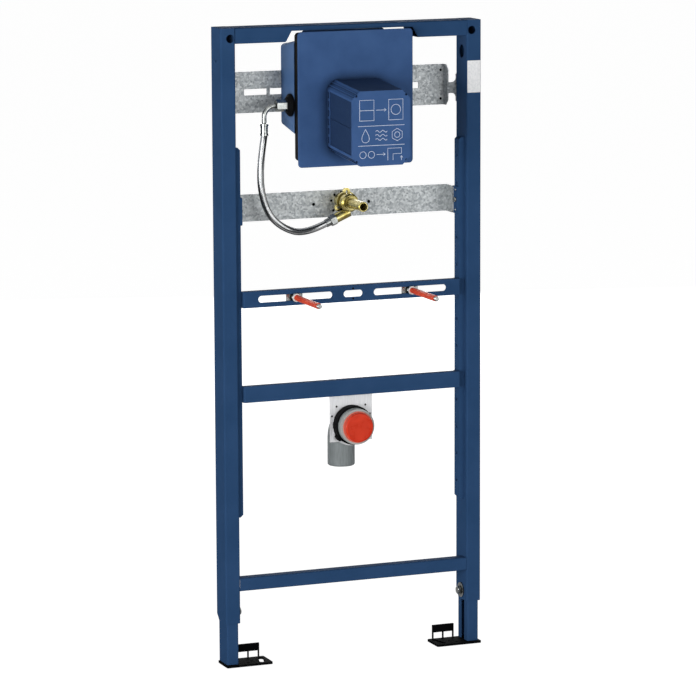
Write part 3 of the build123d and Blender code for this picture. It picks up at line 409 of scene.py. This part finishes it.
def make_finishes():
    """One finish for each material slot of the record, and those of the small pieces."""
    return {
        # baked powder: even and satin, with a slight orange peel
        "frame_paint": finish("blue_powder_coat", "#2B486D", "#2F4C72", 0.6, gloss=0.004, cloud=60,
                              relief=0.006),
        "foot_paint": finish("black_powder_coat", "#08090A", "#0E0F11", 0.7, gloss=0.004, cloud=60,
                             relief=0.006),
        "box_plastic": moulded_abs("blue_moulded_abs", "#3A5785", "#405E8D"),
        "hood_plastic": hood_abs_with_painted_shade(),
        # a paler copy of the box's blue ABS for the box body, as painted light on its side
        "box_lit_side_plastic": moulded_abs("lit_pale_blue_moulded_abs", "#4C6C98", "#5373A1"),
        "galvanised": galvanised_steel(),
        # electro-plated sheet: pale and smooth, with faint rolling lines
        "bright_galvanised": finish("electro_galvanised_steel", "#DCDDDF", "#E7E8EA", 0.45, 0.3, cloud=2.2,
                                    stretch=(1, 1, 0.1), relief=0.002),
        "zinc": bright_zinc(),
        "braid": wire_braid(),
        "brass": worked_brass(),
        "sleeve_plastic": soft_plastic("red_polyethylene_sleeve", "#D83E1C", "#E54C26", 0.4, 0.12),
        "cap_plastic": cap_polyethylene(),
        "pipe_plastic": drain_polypropylene(),
        # moulded rubber: black and dull
        "black_rubber": finish("epdm_rubber", "#060607", "#0C0D0F", 0.68, gloss=0.05, cloud=10, grain=1,
                               relief=0.02),
        # coated paper: white, with a slight sheen
        "paper": finish("coated_label_paper", "#E6E8EA", "#F4F5F6", 0.38, cloud=3, grain=3, relief=0.0015),
        # screen print: a thin pale film, a little uneven
        "ink": finish("screen_print_ink", "#C3D2EA", "#E4ECF8", 0.6, cloud=2, relief=0.002),
        # moulded nylon: off-white and smooth
        "nylon": finish("moulded_nylon", "#DEDCD6", "#EFEEEA", 0.4, cloud=3, relief=0.002),
    }


def dress_nodes(frame, finishes):
    """Give each CAD node the finish of its slot, and three of them a finish of their own."""
    dress = {part["node"]: part["material_slot"] for part in frame["record"]["subparts"]}
    # the box body's paler finish is painted light
    dress.update(drain_bracket="bright_galvanised", box_body="box_lit_side_plastic", hood="hood_plastic")
    for node, name in dress.items():
        for slot in frame["nodes"][node].material_slots:
            slot.material = finishes[name]


def add_camera():
    """The camera of the photograph."""
    data = bpy.data.cameras.new("camera")
    data.lens = CAMERA_LENS
    data.sensor_width = CAMERA_SENSOR
    camera = bpy.data.objects.new("camera", data)
    camera.location = CAMERA_PLACE
    camera.rotation_euler = [radians(a) for a in CAMERA_TURN]
    bpy.context.scene.collection.objects.link(camera)
    bpy.context.scene.camera = camera


def add_piece(name, bm, material, body, smooth=35):
    """Close a bmesh, make it a piece and let it ride on a body."""
    bmesh.ops.remove_doubles(bm, verts=bm.verts, dist=MERGE_GAP * MM)
    bmesh.ops.recalc_face_normals(bm, faces=bm.faces)
    mesh = bpy.data.meshes.new(name)
    bm.to_mesh(mesh)
    bm.free()
    mesh.shade_smooth()
    mesh.set_sharp_from_angle(angle=radians(smooth))
    mesh.materials.append(material)
    piece = bpy.data.objects.new(name, mesh)
    bpy.context.scene.collection.objects.link(piece)
    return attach(piece, body)


def turned(bm, profile, steps):
    """Turn a profile of (radius, height) round Z."""
    verts = [bm.verts.new((r * MM, 0, z * MM)) for r, z in profile]
    edges = [bm.edges.new(pair) for pair in zip(verts, verts[1:])]
    bmesh.ops.spin(bm, geom=verts + edges, cent=(0, 0, 0), axis=(0, 0, 1), angle=2 * pi,
                   steps=steps, use_merge=True)


def put(bm, matrix):
    """Move everything in a bmesh by a matrix."""
    bmesh.ops.transform(bm, matrix=matrix, verts=bm.verts)


def vertices(geometry):
    """The vertices among the elements that an operator gives back."""
    return [v for v in geometry if isinstance(v, bmesh.types.BMVert)]


def hose_line():
    """Points along the hose's smooth line, in metres, read from its spline."""
    curve = bpy.data.curves.new("hose_line", "CURVE")
    curve.dimensions = "3D"
    curve.resolution_u = 24
    spline = curve.splines.new("NURBS")
    spline.points.add(len(HOSE_ROUTE) - 1)
    for point, place in zip(spline.points, HOSE_ROUTE):
        point.co = [c * MM for c in place] + [1.0]
    spline.order_u = 3
    spline.use_endpoint_u = True
    line = bpy.data.objects.new("hose_line", curve)
    mesh = bpy.data.meshes.new_from_object(line)
    points = [v.co.copy() for v in mesh.vertices]
    bpy.data.objects.remove(line)
    bpy.data.meshes.remove(mesh)
    return points


def along(points, lengths, distance):
    """The place and the way on a line of points at a distance from its start."""
    for i in range(len(points) - 2):
        if lengths[i + 1] >= distance:
            break
    share = (distance - lengths[i]) / (lengths[i + 1] - lengths[i])
    return points[i].lerp(points[i + 1], share), (points[i + 1] - points[i]).normalized()


def bend_to_line(bm, points):
    """Lay a bmesh made straight along Z on a line of points in one XZ plane."""
    lengths = [0.0]
    for before, after in zip(points, points[1:]):
        lengths.append(lengths[-1] + (after - before).length)
    for vert in bm.verts:
        place, way = along(points, lengths, min(max(vert.co.z, 0.0), lengths[-1]))
        side = Vector((0, 1, 0)).cross(way)
        vert.co = place + side * vert.co.x + Vector((0, 1, 0)) * vert.co.y


def braid_strands(bm, length, hand):
    """One family of wire bundles, wound one way round a straight hose."""
    steps = int(length / BRAID_STEP)
    half = BRAID_WIDTH / 2
    radius = HOSE_D / 2 - BRAID_RISE
    turn = hand * 2 * pi * length / BRAID_PITCH
    section = [(radius - BRAID_HALF_THICK, 0), (radius, -half),
               (radius + BRAID_HALF_THICK, 0), (radius, half)]
    across, down = BRAID_SLANT
    verts = [bm.verts.new((r * MM, w * MM * across, -hand * w * MM * down)) for r, w in section]
    edges = [bm.edges.new((verts[i], verts[(i + 1) % 4])) for i in range(4)]
    ends = bmesh.ops.spin(bm, geom=verts + edges, cent=(0, 0, 0), axis=(0, 0, 1), angle=turn,
                          dvec=(0, 0, length * MM / steps), steps=steps)["geom_last"]
    bm.faces.new(verts)
    bm.faces.new(vertices(ends))
    bmesh.ops.spin(bm, geom=bm.verts[:] + bm.edges[:] + bm.faces[:], cent=(0, 0, 0), axis=(0, 0, 1),
                   angle=2 * pi * (BRAID_STRANDS - 1) / BRAID_STRANDS, steps=BRAID_STRANDS - 1,
                   use_duplicate=True)
    straight = bm.verts.layers.float_vector.new(BRAID_LAY)
    for vert in bm.verts:
        vert[straight] = vert.co
        # each bundle passes over two of the other family and under two
        round_turn = atan2(vert.co.y, vert.co.x)
        lay_turn = hand * 2 * pi * vert.co.z / (BRAID_PITCH * MM)
        phase = BRAID_STRANDS * (round_turn - lay_turn)
        cross = BRAID_STRANDS * (round_turn + lay_turn)
        lift = hand * sin((cross + phase) / 4) * 0.5 * BRAID_RISE * MM
        reach = hypot(vert.co.x, vert.co.y)
        vert.co.x *= 1 + lift / reach
        vert.co.y *= 1 + lift / reach


def make_liner(points, length, finishes):
    """The dark liner that shows between the wires of the hose."""
    bm = bmesh.new()
    radius = (HOSE_D / 2 - LINER_IN) * MM
    bmesh.ops.create_cone(bm, cap_ends=True, segments=LINER_SIDES, radius1=radius, radius2=radius,
                          depth=length * MM)
    put(bm, Matrix.Translation((0, 0, length * MM / 2)))
    lengthwise = [e for e in bm.edges if abs(e.verts[0].co.z - e.verts[1].co.z) > length * MM / 2]
    bmesh.ops.subdivide_edges(bm, edges=lengthwise, cuts=LINER_CUTS, use_grid_fill=True)
    bend_to_line(bm, points)
    liner = add_piece("hose_liner", bm, finishes["black_rubber"], "frame", 60)
    return liner


def make_hose(finishes):
    """The braided hose: two families of wire bundles over a dark liner."""
    points = hose_line()
    length = sum((b - a).length for a, b in zip(points, points[1:])) / MM
    bm = bmesh.new()
    for hand in (-1, 1):
        family = bmesh.new()
        braid_strands(family, length, hand)
        mesh = bpy.data.meshes.new("braid_family")
        family.to_mesh(mesh)
        family.free()
        bm.from_mesh(mesh)
        bpy.data.meshes.remove(mesh)
    bend_to_line(bm, points)
    hose = add_piece("hose_braid", bm, finishes["braid"], "frame", 60)
    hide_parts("hose")
    liner = make_liner(points, length, finishes)


def make_label(finishes):
    """A blank white label, bent round the rounded front of the right post."""
    low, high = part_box("right_post")
    flat = (high.x - low.x) / 2 - POST_CORNER * MM
    bend = (POST_CORNER + LABEL_ROOM) * MM
    middle = Vector(((low.x + high.x) / 2, low.y - LABEL_ROOM * MM, (LABEL_LOW + LABEL_HIGH) / 2 * MM))
    bm = bmesh.new()
    bmesh.ops.create_grid(bm, x_segments=1, y_segments=1, size=0.5)
    bmesh.ops.scale(bm, vec=(LABEL_WIDTH * MM, (LABEL_HIGH - LABEL_LOW) * MM, 1), verts=bm.verts)
    bmesh.ops.bevel(bm, geom=bm.verts[:], offset=LABEL_CORNER * MM, affect="VERTICES", segments=4,
                    profile=0.5, material=-1)
    for i in range(LABEL_FOLDS):
        for side in (-1, 1):
            fold = side * (flat + LABEL_FOLD_STEP * i * MM)
            bmesh.ops.bisect_plane(bm, geom=bm.verts[:] + bm.edges[:] + bm.faces[:],
                                   plane_co=(fold, 0, 0), plane_no=(1, 0, 0))
    for vert in bm.verts:
        turn = max(abs(vert.co.x) - flat, 0) / bend
        side = 1 if vert.co.x > 0 else -1
        across = min(abs(vert.co.x), flat) + bend * sin(turn)
        vert.co = middle + Vector((side * across, bend * (1 - cos(turn)), vert.co.y))
    back = bmesh.ops.extrude_face_region(bm, geom=bm.faces[:])["geom"]
    bmesh.ops.translate(bm, vec=(0, LABEL_PAPER * MM, 0), verts=vertices(back))
    add_piece("blank_label", bm, finishes["paper"], "frame")


def closed_shape(corners, radius, x, z):
    """A closed outline with this many corners round a point, as print coordinates."""
    turns = [2 * pi * i / corners for i in range(corners + 1)]
    return [(x + radius * sin(t), z + radius * cos(t)) for t in turns]


def arrow(x, z, length, angle):
    """An arrow that starts at a point: a shaft and an open head."""
    way = Vector((cos(radians(angle)), sin(radians(angle))))
    across = Vector((-way.y, way.x)) * ARROW_HALF
    start = Vector((x, z))
    tip = start + way * length
    back = tip - way * ARROW_BACK
    return [[start, tip], [back + across, tip, back - across]]


def print_lines():
    """The printed field: plain signs in three bands, measured from the front's middle."""
    lines = [[(-PRINT_SPAN, z), (PRINT_SPAN, z)] for z in PRINT_BANDS]
    # top band: a plate, a push and a plate with a round opening
    lines.append([(-41, 14), (-41, 50), (-14, 50), (-14, 14), (-41, 14)])
    lines.append([(-41, 32), (-14, 32)])
    lines += arrow(-10, 32, 19, 0)
    lines.append([(14, 14), (14, 50), (41, 50), (41, 14), (14, 14)])
    lines.append(closed_shape(24, 9, 27.5, 32))
    # middle band: a drop, waves and a turn of the valve
    turns = [2 * pi * i / 28 for i in range(29)]
    lines.append([(-30 + 10 * sin(t) * sin(t / 2) ** 1.5, -12.5 + 12 * cos(t)) for t in turns])
    for z in (-19.5, -12.5, -5.5):
        lines.append([(-11 + 22 * i / 20, z + 1.8 * sin(2 * pi * i / 10)) for i in range(21)])
    lines.append(closed_shape(6, 11, 30, -12.5))
    lines.append(closed_shape(20, 5, 30, -12.5))
    # bottom band: two pipe ends, a push and a way round
    for x in (-35, -19):
        lines.append(closed_shape(20, 6, x, -46))
    lines += arrow(-9, -46, 16, 0)
    lines.append([(12, -57), (12, -36), (38, -36), (38, -46), (22, -46), (22, -57)])
    lines += arrow(38, -58, 8, 90)
    return lines


def make_print(finishes):
    """White screen print on the hood's front: generic signs as flat ink lines."""
    low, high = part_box("hood")
    middle = Vector(((low.x + high.x) / 2, 0, low.z + HOOD_FRONT_HEIGHT / 2 * MM))
    curve = bpy.data.curves.new("print_lines", "CURVE")
    curve.dimensions = "3D"
    curve.bevel_depth = PRINT_LINE / 2 * MM
    curve.bevel_resolution = 1
    curve.use_fill_caps = True
    for line in print_lines():
        spline = curve.splines.new("POLY")
        spline.points.add(len(line) - 1)
        for point, (x, z) in zip(spline.points, line):
            point.co = (middle.x + x * MM, 0, middle.z + z * MM, 1)
    shape = bpy.data.objects.new("print_lines", curve)
    mesh = bpy.data.meshes.new_from_object(shape)
    bm = bmesh.new()
    bm.from_mesh(mesh)
    bpy.data.objects.remove(shape)
    bpy.data.meshes.remove(mesh)
    # half of the ink's thickness stands proud
    bmesh.ops.scale(bm, vec=(1, PRINT_THICK / PRINT_LINE, 1), verts=bm.verts)
    bmesh.ops.translate(bm, vec=(0, low.y, 0), verts=bm.verts)
    add_piece("hood_print", bm, finishes["ink"], "frame", 20)


def make_stud_details(finishes):
    """A nylon collar at the foot of each sleeve and a thread on each stud's tip."""
    to_front = Matrix.Rotation(radians(90), 4, "X")
    for name in ("left", "right"):
        sleeve_low, sleeve_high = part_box(name + "_stud_sleeve")
        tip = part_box(name + "_stud")[0].y
        middle = (sleeve_low + sleeve_high) / 2
        inner = (sleeve_high.x - sleeve_low.x) / 2 / MM
        collar = bmesh.new()
        turned(collar, [(inner, 0), (COLLAR_R, 0), (COLLAR_R, COLLAR_LENGTH - COLLAR_CHAMFER),
                        (COLLAR_R - COLLAR_CHAMFER, COLLAR_LENGTH), (inner, COLLAR_LENGTH), (inner, 0)],
               COLLAR_SIDES)
        put(collar, Matrix.Translation((middle.x, sleeve_high.y, middle.z)) @ to_front)
        add_piece(name + "_sleeve_collar", collar, finishes["nylon"], "frame")
        thread = bmesh.new()
        turns = (sleeve_low.y - tip) / MM / THREAD_PITCH - THREAD_SHORT_TURNS
        root = STUD_R - THREAD_ROOT
        section = [(root, -THREAD_HALF), (STUD_R + THREAD_RISE, 0), (root, THREAD_HALF)]
        verts = [thread.verts.new((r * MM, 0, z * MM)) for r, z in section]
        edges = [thread.edges.new((verts[i], verts[(i + 1) % 3])) for i in range(3)]
        steps = int(turns * THREAD_SIDES)
        last = bmesh.ops.spin(thread, geom=verts + edges, cent=(0, 0, 0), axis=(0, 0, 1),
                              angle=2 * pi * turns, steps=steps,
                              dvec=(0, 0, turns * THREAD_PITCH * MM / steps))["geom_last"]
        thread.faces.new(verts)
        thread.faces.new(vertices(last))
        put(thread, Matrix.Translation((middle.x, sleeve_low.y - THREAD_START * MM, middle.z)) @ to_front)
        add_piece(name + "_stud_thread", thread, finishes["zinc"], "frame", 20)


def make_clip_screws(finishes):
    """A socket screw and two rivets on the inner face of each rail clip."""
    head = SCREW_HEAD_HEIGHT
    screw = [(0, head - SCREW_SOCKET_DEPTH), (SCREW_SOCKET_R, head - SCREW_SOCKET_DEPTH),
             (SCREW_SOCKET_R + 0.2, head - 0.1), (SCREW_HEAD_R - 1.4, head),
             (SCREW_HEAD_R - 0.3, head - 0.7), (SCREW_HEAD_R, 0.8), (SCREW_HEAD_R, 0), (0, 0)]
    rivet = [(0, 1.1), (RIVET_R * 0.6, 0.95), (RIVET_R * 0.9, 0.5), (RIVET_R, 0), (0, 0)]
    for name, side in (("left", -1), ("right", 1)):
        low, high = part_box(name + "_rail_clip")
        face = high.x if side < 0 else low.x
        middle = (low + high) / 2
        inward = Matrix.Rotation(radians(-90 * side), 4, "Y")
        for profile, kind, shift in ((screw, "screw", 0), (rivet, "upper_rivet", CLIP_RIVET_RISE),
                                     (rivet, "lower_rivet", -CLIP_RIVET_RISE)):
            bm = bmesh.new()
            turned(bm, profile, SCREW_SIDES)
            place = Vector((face, middle.y - SCREW_FORWARD * MM, middle.z + shift * MM))
            put(bm, Matrix.Translation(place) @ inward)
            add_piece(name + "_clip_" + kind, bm, finishes["zinc"], "frame")


def make_hole_shade_discs(finishes):
    """Black discs in the small holes of the plates, a little behind their fronts, as one piece: painted
    shade inside the holes.
    """
    to_front = Matrix.Rotation(radians(90), 4, "X")
    bm = bmesh.new()
    # the rear of each sheet, the piece whose middle its holes are set out from, and the holes
    for rear, centre, holes in ((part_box("water_plate")[1].y, "water_plate", WATER_HOLES),
                                (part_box("upper_plate")[1].y, "upper_plate", UPPER_HOLES),
                                (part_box("drain_bracket")[1].y, "drain_cap", BRACKET_HOLES),
                                (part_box("stud_bar")[0].y + SHEET * MM, "stud_bar", STUD_BAR_HOLES)):
        low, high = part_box(centre)
        for x, z, radius in holes:
            place = Vector((x * MM, rear - HOLE_SHADE_DEPTH / 2 * MM, (low.z + high.z) / 2 + z * MM))
            size = (radius - HOLE_SHADE_ROOM) * MM
            bmesh.ops.create_cone(bm, cap_ends=True, segments=HOLE_SHADE_SIDES, radius1=size, radius2=size,
                                  depth=HOLE_SHADE_DEPTH * MM, matrix=Matrix.Translation(place) @ to_front)
    add_piece("hole_shade_discs", bm, finishes["black_rubber"], "frame")


def make_box_lip(finishes):
    """The thin lip on top of the flush box, which shows through the notch of the top bar."""
    bm = bmesh.new()
    bmesh.ops.create_cube(bm, size=1)
    bmesh.ops.scale(bm, vec=(2 * LIP_HALF * MM, LIP_SHEET * MM, (LIP_TOP - LIP_LOW) * MM), verts=bm.verts)
    upper = [e for e in bm.edges if all(v.co.z > 0 for v in e.verts)]
    sides = [e for e in upper if abs(e.verts[0].co.y - e.verts[1].co.y) > LIP_SHEET / 2 * MM]
    bmesh.ops.bevel(bm, geom=sides, offset=LIP_CORNER * MM, affect="EDGES", segments=5, profile=0.5,
                    material=-1)
    put(bm, Matrix.Translation((0, (LIP_FRONT + LIP_SHEET / 2) * MM, (LIP_TOP + LIP_LOW) / 2 * MM)))
    add_piece("box_top_lip", bm, finishes["box_plastic"], "frame")


def make_floor():
    """A plain pale floor. To the camera it is nearly white and keeps a soft shadow."""
    material = bpy.data.materials.new("studio_floor")
    material.use_nodes = True
    tree = material.node_tree
    tree.nodes.clear()
    matt = add_node(tree, "ShaderNodeBsdfDiffuse", {"Color": linear(FLOOR_COLOUR)})
    white = add_node(tree, "ShaderNodeEmission", {"Color": WHITE, "Strength": FLOOR_GLOW})
    rays = add_node(tree, "ShaderNodeLightPath")
    share = add_node(tree, "ShaderNodeMath", {
        0: rays.outputs["Is Camera Ray"], 1: FLOOR_SHARE}, operation="MULTIPLY")
    mix = add_node(tree, "ShaderNodeMixShader", {
        0: share.outputs["Value"], 1: matt.outputs["BSDF"], 2: white.outputs["Emission"]})
    add_node(tree, "ShaderNodeOutputMaterial", {"Surface": mix.outputs["Shader"]})
    bm = bmesh.new()
    bmesh.ops.create_grid(bm, x_segments=1, y_segments=1, size=FLOOR_HALF)
    mesh = bpy.data.meshes.new("floor")
    bm.to_mesh(mesh)
    bm.free()
    mesh.materials.append(material)
    floor = bpy.data.objects.new("floor", mesh)
    bpy.context.scene.collection.objects.link(floor)


def make_world():
    """A white room for the camera and reflections. Its light is dimmer from above and behind."""
    world = bpy.data.worlds.new("white_room")
    world.use_nodes = True
    bpy.context.scene.world = world
    tree = world.node_tree
    tree.nodes.clear()
    way = add_node(tree, "ShaderNodeTexCoord").outputs["Generated"]
    front = add_node(tree, "ShaderNodeVectorMath", {0: way, 1: ROOM_FRONT}, operation="DOT_PRODUCT")
    share = add_node(tree, "ShaderNodeMapRange", {
        "Value": front.outputs["Value"], "From Min": 0.0, "From Max": ROOM_FADE,
        "To Min": AMBIENT * ROOM_DIM, "To Max": AMBIENT})
    rays = add_node(tree, "ShaderNodeLightPath")
    seen = add_node(tree, "ShaderNodeMath", {
        0: rays.outputs["Is Camera Ray"], 1: rays.outputs["Is Glossy Ray"]}, operation="MAXIMUM")
    seen = add_node(tree, "ShaderNodeMath", {
        0: seen.outputs["Value"], 1: rays.outputs["Is Transmission Ray"]}, operation="MAXIMUM")
    soft = add_node(tree, "ShaderNodeBackground", {"Color": WHITE, "Strength": share.outputs["Result"]})
    white = add_node(tree, "ShaderNodeBackground", {"Color": WHITE, "Strength": 1.0})
    mix = add_node(tree, "ShaderNodeMixShader", {
        0: seen.outputs["Value"], 1: soft.outputs["Background"], 2: white.outputs["Background"]})
    add_node(tree, "ShaderNodeOutputWorld", {"Surface": mix.outputs["Shader"]})


def add_lamp(name, place, power):
    """A wide soft box at a place, turned to the frame."""
    data = bpy.data.lights.new(name, "AREA")
    data.shape = "RECTANGLE"
    data.size = LAMP_WIDTH
    data.size_y = LAMP_HEIGHT
    data.energy = power
    lamp = bpy.data.objects.new(name, data)
    lamp.location = place
    lamp.rotation_euler = (Vector(LAMP_TARGET) - Vector(place)).to_track_quat("-Z", "Y").to_euler()
    bpy.context.scene.collection.objects.link(lamp)


def main():
    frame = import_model()
    bpy.context.scene.view_settings.view_transform = "Standard"
    add_camera()
    finishes = make_finishes()
    make_hose(finishes)
    dress_nodes(frame, finishes)
    make_label(finishes)
    make_print(finishes)
    make_stud_details(finishes)
    make_clip_screws(finishes)
    make_hole_shade_discs(finishes)
    make_box_lip(finishes)
    make_floor()
    make_world()
    for name, place, power in LAMPS:
        add_lamp(name, place, power)


main()
